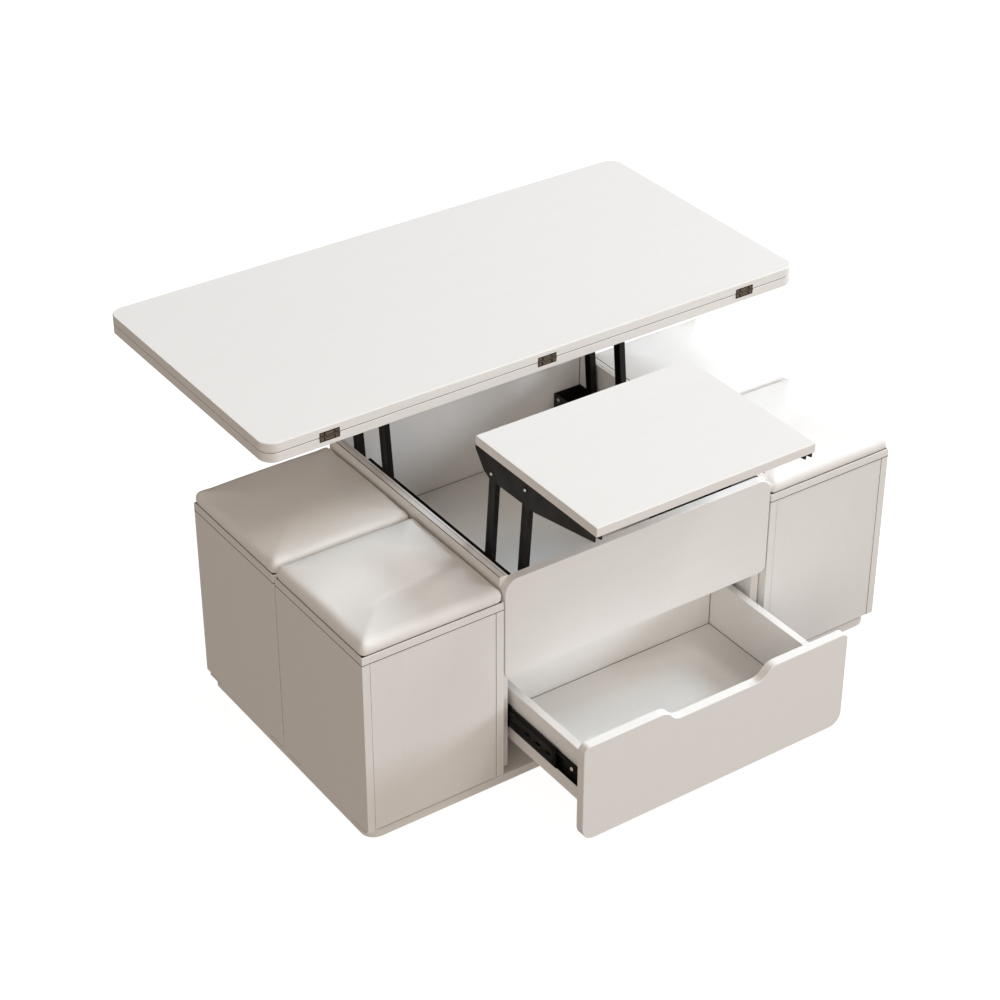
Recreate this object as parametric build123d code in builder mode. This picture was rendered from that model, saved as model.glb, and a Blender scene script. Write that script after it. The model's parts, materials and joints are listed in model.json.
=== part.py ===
from build123d import *
import os
from math import cos, radians, sin

os.makedirs("parts", exist_ok=True)

# Lengths are in millimetres and angles in degrees.
# X runs along the table, -Y is the drawer side and Z is up, from the centre of the slab's underside.
# The table stands as in use: both tops are raised and the drawer is drawn out.

# Base slab
slab_thickness = 17.5
slab_corner_radius = 27.0
slab_end_inset = 6.0
slab_edge_inset = 7.5

# Cabinet
cabinet_width = 606.0
cabinet_depth = 596.0
cabinet_height = 429.5
panel_thickness = 18.0
front_thickness = 18.0
back_thickness = 13.0
storage_depth = 198.0
storage_floor_thickness = 12.0
spacer_height = 9.0
spacer_length = 40.0
spacer_inset = 2.0
front_outer_radius = 28.0
front_inner_radius = 14.0
upper_front_height = 212.0
front_gap = 2.0

# Boards and their softened edges
board_arris = 0.5
top_arris = 1.0

# Stools
stool_width = 295.0
stool_box_height = 389.0
stool_board = 16.0
stool_face_recess = 1.0
stool_cabinet_gap = 3.0
stool_pair_gap = 6.0
stool_glide_height = 8.5
stool_glide_length = 40.0
stool_glide_margin = 1.5
stool_glide_inset = 30.0

# Stool cushions
cushion_margin = 1.0
cushion_height = 37.0
cushion_corner_radius = 20.0
cushion_corner_chords = 4
cushion_draw_in = 1.6

# Drawer
drawer_pull = 240.5
drawer_face_gap = 0.5
drawer_front_lift = 4.0
drawer_length = 340.0
drawer_board = 15.5
drawer_back_thickness = 15.0
drawer_box_height = 115.0
drawer_box_lift = 44.5
drawer_bottom_thickness = 4.0
handle_depth = 24.0
handle_top_half = 133.0
handle_bottom_half = 86.0

# Drawer slides
slide_thickness = 12.5
slide_length = 350.0
slide_wall = 1.2
slide_bend_radius = 3.0
slide_lift = 60.0
slide_cabinet_height = 45.0
slide_middle_height = 39.6
slide_drawer_height = 35.0
slide_layer_gap = 0.4
slide_lip_gap = 1.5
slide_end_gap = 2.0
slide_middle_reach = 148.0

# Both tops
top_length = 1200.0
top_depth = 598.0
top_corner_radius = 28.0
leaf_thickness = 19.0
leaf_seam = 0.8
small_top_width_margin = 0.9
small_top_depth = 363.0
small_top_thickness = 19.0

# Lifting arms, shared by both lifts
arm_length = 292.0
lift_travel_angle = 75.2
main_rest_angle = 6.0
small_rest_angle = 5.0
arm_wall = 2.0
arm_side_gap = 0.6
arm_end_length = 13.0
arm_bead_width = 7.0
arm_bead_depth = 0.6
arm_bead_setback = 28.0
main_arm_width = 21.0
main_arm_depth = 12.0
small_arm_width = 20.5
small_arm_depth = 10.4

# Where the lifts stand in the cabinet and how they meet their tops
main_closed_gap = 3.5
main_pivot_drop = 20.0
main_pivot_spacing = 102.0
main_pivot_setback = 63.0
small_closed_drop = 4.0
small_pivot_drop = 36.0
small_pivot_spacing = 104.0
small_pivot_rise = 21.0
small_pivot_setback = 142.4
small_rear_overhang = 50.0

# Brackets under the tops, as channels open below
bracket_wall = 2.0
main_bracket_rear = 32.0
main_bracket_length = 240.0
main_bracket_depth = 35.0
small_bracket_rear = 51.5
small_bracket_length = 358.5
small_bracket_depth = 50.0
bracket_fold_radius = 9.0
bracket_tip_radius = 2.0
main_bracket_shares = ((0, 0), (0, 0.28), (0.08, 1), (0.66, 1), (1, 0.3), (1, 0))
small_bracket_shares = ((0, 0), (0, 0.14), (0.074, 0.82), (0.125, 1), (0.517, 0.94), (1, 0.26), (1, 0))

# Pins and their fits
pin_radius = 4.0
pin_running_fit = 0.08
pin_open_fit = 0.4

# Housings that carry the lifts, as troughs along the sides of the storage
housing_width = 65.0
housing_height = 127.0
housing_wall = 2.0
housing_end_gap = 1.0
bracket_housing_gap = 2.0

# Leaf hinges, let into the front edges of both leaves
leaf_hinge_spacing = 470.0
leaf_hinge_width = 42.0
leaf_hinge_half_height = 9.5
leaf_hinge_depth = 14.0
leaf_hinge_fit = 0.1
leaf_hinge_standoff = 0.2
leaf_hinge_knuckle_radius = 2.0
leaf_hinge_knuckle_gap = 0.35
leaf_hinge_pin_radius = 0.9
leaf_hinge_knuckles = 3

# How far a cutting shape runs past what it cuts
overrun = 5.0

# Places that follow from the sizes
panel_bottom = slab_thickness + spacer_height
panel_top = panel_bottom + cabinet_height
cabinet_half = cabinet_width / 2
cabinet_inner = cabinet_half - panel_thickness
cabinet_front = -cabinet_depth / 2
panel_front = cabinet_front + front_thickness
cabinet_back = cabinet_depth / 2
back_inner = cabinet_back - back_thickness
storage_floor = panel_top - storage_depth
upper_front_bottom = panel_top - upper_front_height

stool_bottom = slab_thickness + stool_glide_height
stool_top = stool_bottom + stool_box_height
stool_depth = (cabinet_depth - stool_pair_gap) / 2
stool_x = cabinet_half + stool_cabinet_gap + stool_width / 2
stool_y = (stool_pair_gap + stool_depth) / 2

drawer_front_top = upper_front_bottom - front_gap
drawer_front_bottom = panel_bottom + drawer_front_lift
drawer_face = panel_front - drawer_face_gap - drawer_pull
drawer_outer = cabinet_inner - slide_thickness
drawer_bottom_height = drawer_front_bottom + drawer_box_lift
drawer_top_height = drawer_bottom_height + drawer_box_height
drawer_rear = drawer_face + drawer_length
slide_height = drawer_bottom_height + slide_lift

main_fold_rise = 90 + main_rest_angle - lift_travel_angle
small_fold_rise = 90 + small_rest_angle - lift_travel_angle
main_step = (arm_length * sin(radians(main_rest_angle)), arm_length * cos(radians(main_rest_angle)))
small_step = (-arm_length * sin(radians(small_rest_angle)), arm_length * cos(radians(small_rest_angle)))

main_base_height = panel_top + main_closed_gap - main_pivot_drop - arm_length * sin(radians(main_fold_rise))
main_rear_base = (back_inner - main_pivot_setback, main_base_height)
main_front_base = (main_rear_base[0] - main_pivot_spacing, main_base_height)
small_base_height = (panel_top - small_closed_drop - small_top_thickness - small_pivot_drop
                     - arm_length * sin(radians(small_fold_rise)))
small_rear_base = (panel_front + small_pivot_setback, small_base_height)
small_front_base = (small_rear_base[0] - small_pivot_spacing, small_base_height + small_pivot_rise)


def raised(base, step):
    return (base[0] + step[0], base[1] + step[1])


main_rear_top = raised(main_rear_base, main_step)
main_front_top = raised(main_front_base, main_step)
small_rear_top = raised(small_rear_base, small_step)
small_front_top = raised(small_front_base, small_step)

leaf_bottom = main_rear_top[1] + main_pivot_drop
seam_bottom = leaf_bottom + leaf_thickness
seam_top = seam_bottom + leaf_seam
top_centre = main_step[0] + arm_length * cos(radians(main_fold_rise))
top_front = top_centre - top_depth / 2
small_top_bottom = small_rear_top[1] + small_pivot_drop
small_top_rear = small_rear_top[0] + small_rear_overhang

housing_inner = cabinet_inner - housing_width
trough_inner = housing_inner + housing_wall
trough_outer = cabinet_inner - housing_wall
small_bracket_inner = trough_inner + bracket_housing_gap
small_arm_inner = small_bracket_inner + bracket_wall + arm_side_gap
small_arm_outer = small_arm_inner + small_arm_depth
small_bracket_outer = small_arm_outer + arm_side_gap + bracket_wall
main_bracket_outer = trough_outer - arm_side_gap
main_arm_outer = main_bracket_outer - bracket_wall - arm_side_gap
main_arm_inner = main_arm_outer - main_arm_depth
main_bracket_inner = main_arm_inner - arm_side_gap - bracket_wall
small_top_half = small_bracket_outer + small_top_width_margin


def write_piece(piece, name):
    piece.part.label = name
    export_step(piece.part, "parts/" + name + ".step")


# A board between two places along each axis, with its edges softened
def board(x_from, x_to, y_from, y_to, z_from, z_to, arris=board_arris):
    with BuildPart() as piece:
        with BuildSketch(Plane.XY.offset(z_from)):
            with Locations(((x_from + x_to) / 2, (y_from + y_to) / 2)):
                Rectangle(x_to - x_from, y_to - y_from)
        extrude(amount=z_to - z_from)
        chamfer(piece.edges(), arris)
    return piece


# The same piece on the other side of the table
def mirrored(piece):
    with BuildPart() as other:
        mirror(piece.part, about=Plane.YZ)
    return other


# Several finished pieces kept as separate solids under one name
def grouped(pieces):
    with BuildPart() as group:
        for piece in pieces:
            add(piece.part)
    return group


# Base slab with rounded corners
slab_half_length = stool_x + stool_width / 2 - slab_end_inset
slab_half_depth = stool_y + stool_depth / 2 - slab_edge_inset
with BuildPart() as base_slab:
    with BuildSketch():
        RectangleRounded(2 * slab_half_length, 2 * slab_half_depth, slab_corner_radius)
    extrude(amount=slab_thickness)
    chamfer(base_slab.edges().group_by(Axis.Z)[-1], board_arris)
write_piece(base_slab, "base_slab")

# Spacers that hold the cabinet's panels off the slab
spacer_half = panel_thickness / 2 - spacer_inset
spacer_rows = (panel_front + spacer_length, 0, back_inner - spacer_length)
panel_middle = (cabinet_half + cabinet_inner) / 2
with BuildPart() as cabinet_spacers:
    with BuildSketch(Plane.XY.offset(slab_thickness)):
        with Locations([(side * panel_middle, row) for side in (-1, 1) for row in spacer_rows]):
            Rectangle(2 * spacer_half, spacer_length)
        with Locations([(side * cabinet_inner / 2, (back_inner + cabinet_back) / 2) for side in (-1, 1)]):
            Rectangle(spacer_length, back_thickness - 2 * spacer_inset)
    extrude(amount=spacer_height)
write_piece(cabinet_spacers, "cabinet_spacers")

# Cabinet panels and the floor of the storage above the drawer
side_panel_right = board(cabinet_inner, cabinet_half, panel_front, cabinet_back, panel_bottom, panel_top)
write_piece(side_panel_right, "side_panel_right")
write_piece(mirrored(side_panel_right), "side_panel_left")
back_panel = board(-cabinet_inner, cabinet_inner, back_inner, cabinet_back, panel_bottom, panel_top)
write_piece(back_panel, "back_panel")
interior_floor = board(-cabinet_inner, cabinet_inner, panel_front, back_inner,
                       storage_floor - storage_floor_thickness, storage_floor)
write_piece(interior_floor, "interior_floor")

# Upper front panel, with large corners above and small ones at the drawer
with BuildPart() as upper_front_panel:
    with BuildSketch(Plane.XZ.offset(-panel_front)) as upper_front_face:
        with Locations((0, (upper_front_bottom + panel_top) / 2)):
            Rectangle(cabinet_width, upper_front_height)
        fillet(upper_front_face.vertices().group_by(Axis.Y)[-1], front_outer_radius)
        fillet(upper_front_face.vertices().group_by(Axis.Y)[0], front_inner_radius)
    extrude(amount=front_thickness)
    chamfer(upper_front_panel.edges().group_by(Axis.Y)[0], top_arris)
write_piece(upper_front_panel, "upper_front_panel")

# Drawer front, with a shallow cut-out in its top edge to pull it by
drawer_front_height = drawer_front_top - drawer_front_bottom
handle_bottom = drawer_front_top - handle_depth
handle_middle = ((handle_top_half + handle_bottom_half) / 2, drawer_front_top - handle_depth / 2)
handle_over = drawer_front_top + overrun
with BuildPart() as drawer_front:
    with BuildSketch(Plane.XZ.offset(-drawer_face)) as drawer_front_face:
        with Locations((0, drawer_front_bottom + drawer_front_height / 2)):
            Rectangle(cabinet_width, drawer_front_height)
        fillet(drawer_front_face.vertices().group_by(Axis.Y)[-1], front_inner_radius)
        fillet(drawer_front_face.vertices().group_by(Axis.Y)[0], front_outer_radius)
        with BuildLine():
            Line((0, handle_over), (handle_top_half, handle_over))
            Line((handle_top_half, handle_over), (handle_top_half, drawer_front_top))
            TangentArc((handle_top_half, drawer_front_top), handle_middle, tangent=(-1, 0))
            TangentArc((handle_bottom_half, handle_bottom), handle_middle, tangent=(1, 0))
            Line((handle_bottom_half, handle_bottom), (0, handle_bottom))
            mirror(about=Plane.YZ)
        make_face(mode=Mode.SUBTRACT)
    extrude(amount=front_thickness)
    chamfer(drawer_front.edges().group_by(Axis.Y)[0], top_arris)
write_piece(drawer_front, "drawer_front")

# Drawer box: two sides, a back and a thin bottom nailed under them
drawer_inner = drawer_outer - drawer_board
drawer_side_bottom = drawer_bottom_height + drawer_bottom_thickness
drawer_side_right = board(drawer_inner, drawer_outer, drawer_face, drawer_rear,
                          drawer_side_bottom, drawer_top_height)
write_piece(drawer_side_right, "drawer_side_right")
write_piece(mirrored(drawer_side_right), "drawer_side_left")
drawer_back = board(-drawer_inner, drawer_inner, drawer_rear - drawer_back_thickness, drawer_rear,
                    drawer_side_bottom, drawer_top_height)
write_piece(drawer_back, "drawer_back")
drawer_bottom = board(-drawer_outer, drawer_outer, drawer_face, drawer_rear,
                      drawer_bottom_height, drawer_side_bottom)
write_piece(drawer_bottom, "drawer_bottom")


# One rail of a ball-bearing slide: sheet steel bent to a channel along Y, from its web to its lips
def slide_rail(web_x, lip_x, height, rear, length):
    low = slide_height - height / 2
    high = slide_height + height / 2
    corners = ((lip_x, low), (web_x, low), (web_x, high), (lip_x, high))
    with BuildPart() as rail:
        with BuildSketch(Plane.XZ.offset(-rear)):
            with BuildLine():
                FilletPolyline(*corners, radius=slide_bend_radius)
                offset(amount=slide_wall, side=Side.LEFT if web_x > lip_x else Side.RIGHT)
            make_face()
        extrude(amount=length)
    return rail


# Slides: a rail on the cabinet, one on the drawer, and a middle rail that follows at its own rate
slide_front = panel_front + slide_end_gap
slide_middle_front = slide_front - slide_end_gap - slide_middle_reach
slide_middle_web = cabinet_inner - slide_wall - slide_layer_gap
slide_cabinet_lip = drawer_outer + slide_wall + slide_lip_gap / 2
slide_middle_lip = drawer_outer + slide_wall + slide_lip_gap
slide_drawer_lip = slide_middle_web - slide_wall - slide_layer_gap
cabinet_rail = slide_rail(cabinet_inner, slide_cabinet_lip, slide_cabinet_height,
                          slide_front + slide_length, slide_length)
write_piece(grouped([cabinet_rail, mirrored(cabinet_rail)]), "slide_cabinet_members")
middle_rail = slide_rail(slide_middle_web, slide_middle_lip, slide_middle_height,
                         slide_middle_front + slide_length, slide_length)
write_piece(grouped([middle_rail, mirrored(middle_rail)]), "slide_middle_members")
drawer_rail = slide_rail(drawer_outer, slide_drawer_lip, slide_drawer_height,
                         drawer_rear, drawer_length - slide_end_gap)
write_piece(grouped([drawer_rail, mirrored(drawer_rail)]), "slide_drawer_members")


# Main top: two equal leaves, hinged together along their front edges
leaf_hinge_rows = (-leaf_hinge_spacing, 0, leaf_hinge_spacing)


def main_leaf(bottom, pocket_bottom):
    with BuildPart() as leaf:
        with BuildSketch(Plane.XY.offset(bottom)):
            with Locations((0, top_centre)):
                RectangleRounded(top_length, top_depth, top_corner_radius)
        extrude(amount=leaf_thickness)
        chamfer(leaf.edges().group_by(Axis.Z)[-1] + leaf.edges().group_by(Axis.Z)[0], top_arris)
        with BuildSketch(Plane.XY.offset(pocket_bottom)):
            with Locations([(row, top_front) for row in leaf_hinge_rows]):
                Rectangle(leaf_hinge_width + 2 * leaf_hinge_fit, 2 * (leaf_hinge_depth + leaf_hinge_fit))
        extrude(amount=leaf_hinge_half_height + leaf_hinge_fit, mode=Mode.SUBTRACT)
    return leaf


main_lower_leaf = main_leaf(leaf_bottom, seam_bottom - leaf_hinge_half_height - leaf_hinge_fit)
write_piece(main_lower_leaf, "main_lower_leaf")
main_upper_leaf = main_leaf(seam_top, seam_top)
write_piece(main_upper_leaf, "main_upper_leaf")

# Leaf hinges turn about the seam, just in front of the leaves' edges
hinge_y = top_front - leaf_hinge_standoff
hinge_z = (seam_bottom + seam_top) / 2
knuckle_pitch = leaf_hinge_width / leaf_hinge_knuckles
knuckle_length = knuckle_pitch - leaf_hinge_knuckle_gap


# Bars about the hinge line in the place of every second knuckle, each longer by a reach at both ends
def hinge_bars(first_knuckle, radius, reach):
    with BuildPart() as bars:
        for row in leaf_hinge_rows:
            for knuckle in range(first_knuckle, leaf_hinge_knuckles, 2):
                start = row - leaf_hinge_width / 2 + knuckle * knuckle_pitch
                with BuildSketch(Plane.YZ.offset(start - reach)):
                    with Locations((hinge_y, hinge_z)):
                        Circle(radius)
                extrude(amount=knuckle_length + 2 * reach)
    return bars


# A hinge half: a plate let into the leaf's edge, with its own knuckles and room for the other's
def hinge_half(bottom, first_knuckle):
    with BuildPart() as half:
        with BuildSketch(Plane.XY.offset(bottom)):
            with Locations([(row, top_front + leaf_hinge_depth / 2) for row in leaf_hinge_rows]):
                Rectangle(leaf_hinge_width, leaf_hinge_depth)
        extrude(amount=leaf_hinge_half_height)
        add(hinge_bars(1 - first_knuckle, leaf_hinge_knuckle_radius + leaf_hinge_knuckle_gap,
                       leaf_hinge_knuckle_gap).part, mode=Mode.SUBTRACT)
        add(hinge_bars(first_knuckle, leaf_hinge_knuckle_radius, 0).part)
    return half


# The lower half carries the pin, which runs through the upper half's knuckle
with BuildPart() as hinge_lower:
    add(hinge_half(seam_bottom - leaf_hinge_half_height, 0).part)
    add(hinge_bars(1, leaf_hinge_pin_radius, leaf_hinge_knuckle_gap).part)
with BuildPart() as hinge_upper:
    add(hinge_half(seam_top, 1).part)
    add(hinge_bars(1, leaf_hinge_pin_radius + pin_running_fit, 0).part, mode=Mode.SUBTRACT)
write_piece(hinge_lower, "leaf_hinge_lower_halves")
write_piece(hinge_upper, "leaf_hinge_upper_halves")

# Small top
small_top_board = board(-small_top_half, small_top_half, small_top_rear - small_top_depth, small_top_rear,
                        small_top_bottom, small_top_bottom + small_top_thickness, top_arris)
write_piece(small_top_board, "small_top_board")


# A bracket under a top: a folded channel whose two walls take the arms between them
def top_bracket(inner, outer, rear, length, underside, depth, shares):
    corners = [(rear - along * length, underside - down * depth) for along, down in shares]
    folds = [bracket_tip_radius, bracket_tip_radius] + [bracket_fold_radius] * (len(corners) - 4)
    folds = folds + [bracket_tip_radius, bracket_tip_radius]
    with BuildPart() as bracket:
        with BuildSketch(Plane.YZ.offset(inner)):
            with BuildLine():
                FilletPolyline(*corners, radius=folds, close=True)
            make_face()
        extrude(amount=outer - inner)
        with BuildSketch(Plane.YZ.offset(inner + bracket_wall)):
            with Locations((rear - length / 2, underside - bracket_wall - depth / 2)):
                Rectangle(length + overrun, depth)
        extrude(amount=outer - inner - 2 * bracket_wall, mode=Mode.SUBTRACT)
    return bracket


main_top_bracket_right = top_bracket(main_bracket_inner, main_bracket_outer,
                                     main_rear_top[0] + main_bracket_rear, main_bracket_length,
                                     leaf_bottom, main_bracket_depth, main_bracket_shares)
write_piece(main_top_bracket_right, "main_top_bracket_right")
write_piece(mirrored(main_top_bracket_right), "main_top_bracket_left")
small_top_bracket_right = top_bracket(small_bracket_inner, small_bracket_outer,
                                      small_rear_top[0] + small_bracket_rear, small_bracket_length,
                                      small_top_bottom, small_bracket_depth, small_bracket_shares)
write_piece(small_top_bracket_right, "small_top_bracket_right")
write_piece(mirrored(small_top_bracket_right), "small_top_bracket_left")


# A lifting arm: a channel with solid round ends for the pivots and a bead pressed along its web
def lift_arm(base, top, inner, outer, width, lean, top_fit):
    middle = ((base[0] + top[0]) / 2, (base[1] + top[1]) / 2)
    depth = outer - inner
    with BuildPart() as arm:
        with BuildSketch(Plane.YZ.offset(inner)):
            with Locations(middle):
                SlotCenterToCenter(arm_length, width, rotation=90 - lean)
            with Locations(base):
                Circle(pin_radius + pin_running_fit, mode=Mode.SUBTRACT)
            with Locations(top):
                Circle(pin_radius + top_fit, mode=Mode.SUBTRACT)
        extrude(amount=depth)
        with BuildSketch(Plane.YZ.offset(inner)):
            with Locations(middle):
                Rectangle(arm_length - 2 * arm_end_length, width - 2 * arm_wall, rotation=90 - lean)
        extrude(amount=depth - arm_wall, mode=Mode.SUBTRACT)
        with BuildSketch(Plane.YZ.offset(outer)):
            with Locations(middle):
                Rectangle(arm_length - 2 * arm_bead_setback, arm_bead_width, rotation=90 - lean)
        extrude(amount=-arm_bead_depth, mode=Mode.SUBTRACT)
    return arm


# The front arms' upper pivots are the loose ones of each four-bar lift
main_rear_arm = lift_arm(main_rear_base, main_rear_top, main_arm_inner, main_arm_outer,
                         main_arm_width, main_rest_angle, pin_running_fit)
main_front_arm = lift_arm(main_front_base, main_front_top, main_arm_inner, main_arm_outer,
                          main_arm_width, main_rest_angle, pin_open_fit)
small_rear_arm = lift_arm(small_rear_base, small_rear_top, small_arm_inner, small_arm_outer,
                          small_arm_width, -small_rest_angle, pin_running_fit)
small_front_arm = lift_arm(small_front_base, small_front_top, small_arm_inner, small_arm_outer,
                           small_arm_width, -small_rest_angle, pin_open_fit)
for arm_name, arm in (("main_rear_arm", main_rear_arm), ("main_front_arm", main_front_arm),
                      ("small_rear_arm", small_rear_arm), ("small_front_arm", small_front_arm)):
    write_piece(arm, arm_name + "_right")
    write_piece(mirrored(arm), arm_name + "_left")


# Round pins across the table at the given pivots, welded between two walls on each side of it
def cross_pins(pivots, wall_inner, wall_outer):
    with BuildPart() as pins:
        with BuildSketch(Plane.YZ.offset(wall_inner)):
            with Locations(pivots):
                Circle(pin_radius)
        extrude(amount=wall_outer - wall_inner)
    return grouped([pins, mirrored(pins)])


write_piece(cross_pins((main_rear_base, main_front_base, small_rear_base, small_front_base),
                       trough_inner, trough_outer), "base_pivot_pins")
write_piece(cross_pins((main_rear_top, main_front_top), main_bracket_inner + bracket_wall,
                       main_bracket_outer - bracket_wall), "main_top_pins")
write_piece(cross_pins((small_rear_top, small_front_top), small_bracket_inner + bracket_wall,
                       small_bracket_outer - bracket_wall), "small_top_pins")

# Housings: open troughs on the storage floor that carry the pins of both lifts
housing_rear = back_inner - housing_end_gap
housing_front = panel_front + housing_end_gap
housing_middle_x = (housing_inner + cabinet_inner) / 2
housing_middle_z = storage_floor + housing_height / 2
with BuildPart() as mechanism_housing_right:
    with BuildSketch(Plane.XZ.offset(-housing_rear)):
        with Locations((housing_middle_x, housing_middle_z)):
            Rectangle(housing_width, housing_height)
        with Locations((housing_middle_x, housing_middle_z + housing_wall)):
            Rectangle(housing_width - 2 * housing_wall, housing_height, mode=Mode.SUBTRACT)
    extrude(amount=housing_rear - housing_front)
write_piece(mechanism_housing_right, "mechanism_housing_right")
write_piece(mirrored(mechanism_housing_right), "mechanism_housing_left")

# A cushion's outline about its centre: corners rounded in chords, and sides that pull in to their middles
cushion_side_shares = (-0.5, 0, 0.5)


def cushion_outline(half_width, half_depth):
    points = []
    radius = cushion_corner_radius
    for corner in range(4):
        x_side = 1 if corner in (0, 3) else -1
        y_side = 1 if corner in (0, 1) else -1
        for chord in range(cushion_corner_chords + 1):
            turn = radians(90 * (corner + chord / cushion_corner_chords))
            points.append((x_side * (half_width - radius) + radius * cos(turn),
                           y_side * (half_depth - radius) + radius * sin(turn)))
        half_side, half_out = (half_depth, half_width) if corner % 2 else (half_width, half_depth)
        out_x, out_y = ((0, 1), (-1, 0), (0, -1), (1, 0))[corner]
        for share in cushion_side_shares:
            out = half_out - cushion_draw_in * (1 - share * share)
            along = share * (half_side - radius)
            points.append((out_x * out - out_y * along, out_y * out + out_x * along))
    return points


# From the seam up to the crown: shares of the cushion's height, and of its outline's size there
cushion_rise_shares = ((0, 0.985), (0.18, 0.996), (0.42, 1), (0.62, 0.99), (0.77, 0.97), (0.88, 0.93),
                       (0.95, 0.86), (0.985, 0.7), (1, 0.45))


# A cushion as a closed skin of flat facets between its outlines
def stool_cushion(x, y):
    outline = cushion_outline(stool_width / 2 - cushion_margin, stool_depth / 2 - cushion_margin)
    rings = [[(x + size * across, y + size * along, stool_top + rise * cushion_height)
              for across, along in outline] for rise, size in cushion_rise_shares]
    facets = [Face(Wire.make_polygon(rings[0])), Face(Wire.make_polygon(rings[-1]))]
    for lower, upper in zip(rings, rings[1:]):
        for place in range(len(outline)):
            corners = (lower[place - 1], lower[place], upper[place], upper[place - 1])
            facets.append(Face(Wire.make_polygon(corners)))
    with BuildPart() as cushion:
        add(Solid(Shell(facets)))
    return cushion


# Four stools: each a box of boards on glides, under its own cushion
stool_places = (("stool_front_left", -1, -1), ("stool_front_right", 1, -1),
                ("stool_rear_left", -1, 1), ("stool_rear_right", 1, 1))
for stool_name, x_side, y_side in stool_places:
    x = x_side * stool_x
    y = y_side * stool_y
    left = x - stool_width / 2
    right = x + stool_width / 2
    near = y - stool_depth / 2
    far = y + stool_depth / 2
    lid_bottom = stool_top - stool_board
    side_boards = grouped([board(left, left + stool_board, near, far, stool_bottom, lid_bottom),
                           board(right - stool_board, right, near, far, stool_bottom, lid_bottom)])
    write_piece(side_boards, stool_name + "_side_boards")
    face_panels = grouped([board(left + stool_board, right - stool_board, near + stool_face_recess,
                                 near + stool_face_recess + stool_board, stool_bottom, lid_bottom),
                           board(left + stool_board, right - stool_board, far - stool_face_recess
                                 - stool_board, far - stool_face_recess, stool_bottom, lid_bottom)])
    write_piece(face_panels, stool_name + "_face_panels")
    write_piece(board(left, right, near, far, lid_bottom, stool_top), stool_name + "_top_board")
    write_piece(stool_cushion(x, y), stool_name + "_cushion")
    with BuildPart() as stool_glides:
        with BuildSketch(Plane.XY.offset(slab_thickness)):
            with Locations([(board_x, board_y)
                            for board_x in (left + stool_board / 2, right - stool_board / 2)
                            for board_y in (near + stool_glide_inset, far - stool_glide_inset)]):
                Rectangle(stool_board - 2 * stool_glide_margin, stool_glide_length)
        extrude(amount=stool_glide_height)
    write_piece(stool_glides, stool_name + "_glides")

# Places of the pivots, for whoever joins the pieces
for pivot_name, pivot in (("main rear base", main_rear_base), ("main front base", main_front_base),
                          ("main rear top", main_rear_top), ("main front top", main_front_top),
                          ("small rear base", small_rear_base), ("small front base", small_front_base),
                          ("small rear top", small_rear_top), ("small front top", small_front_top),
                          ("leaf hinge", (hinge_y, hinge_z))):
    print(pivot_name, "pivot: y %.3f z %.3f" % pivot)
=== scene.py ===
import json
import math

import bmesh
import bpy
from mathutils import Matrix, Vector, noise


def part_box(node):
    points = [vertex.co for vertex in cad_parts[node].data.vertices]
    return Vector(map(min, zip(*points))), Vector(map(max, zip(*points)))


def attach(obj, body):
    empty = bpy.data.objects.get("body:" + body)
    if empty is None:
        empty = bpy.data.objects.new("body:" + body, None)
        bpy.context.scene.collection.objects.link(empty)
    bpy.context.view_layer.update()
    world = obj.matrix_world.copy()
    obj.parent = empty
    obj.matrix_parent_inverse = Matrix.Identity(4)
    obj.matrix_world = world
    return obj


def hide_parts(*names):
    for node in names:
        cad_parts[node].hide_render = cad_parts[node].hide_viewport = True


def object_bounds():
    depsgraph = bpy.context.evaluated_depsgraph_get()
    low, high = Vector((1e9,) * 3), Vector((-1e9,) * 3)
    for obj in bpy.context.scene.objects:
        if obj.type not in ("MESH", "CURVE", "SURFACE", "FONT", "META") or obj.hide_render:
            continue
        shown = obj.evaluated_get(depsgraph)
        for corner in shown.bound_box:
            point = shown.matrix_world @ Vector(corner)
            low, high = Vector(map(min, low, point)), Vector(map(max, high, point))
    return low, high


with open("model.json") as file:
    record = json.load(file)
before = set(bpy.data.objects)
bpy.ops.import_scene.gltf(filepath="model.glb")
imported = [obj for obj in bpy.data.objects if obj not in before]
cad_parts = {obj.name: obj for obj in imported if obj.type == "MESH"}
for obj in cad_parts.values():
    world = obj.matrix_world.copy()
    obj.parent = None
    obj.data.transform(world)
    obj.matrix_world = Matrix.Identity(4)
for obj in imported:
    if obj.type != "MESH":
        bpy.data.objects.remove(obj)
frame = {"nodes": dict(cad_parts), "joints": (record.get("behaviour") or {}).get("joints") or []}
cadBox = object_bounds()
nodes = frame["nodes"]
scene = bpy.context.scene
mm = 0.001
print("frame loaded:", len(nodes), "nodes")


# Helpers for colours, nodes and materials
def linearColour(hexCode):
    channels = [int(hexCode[place:place + 2], 16) / 255 for place in (1, 3, 5)]
    return tuple(c / 12.92 if c <= 0.04045 else ((c + 0.055) / 1.055) ** 2.4 for c in channels) + (1.0,)


def addNode(tree, kind, values={}, links={}, **settings):
    node = tree.nodes.new(kind)
    for name, value in settings.items():
        setattr(node, name, value)
    for socket, value in values.items():
        node.inputs[socket].default_value = value
    for socket, source in links.items():
        tree.links.new(source, node.inputs[socket])
    return node


def startMaterial(name, **sockets):
    material = bpy.data.materials.new(name)
    material.use_nodes = True
    shader = material.node_tree.nodes["Principled BSDF"]
    for socket, value in sockets.items():
        shader.inputs[socket.replace("_", " ")].default_value = value
    return material, material.node_tree, shader


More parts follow.
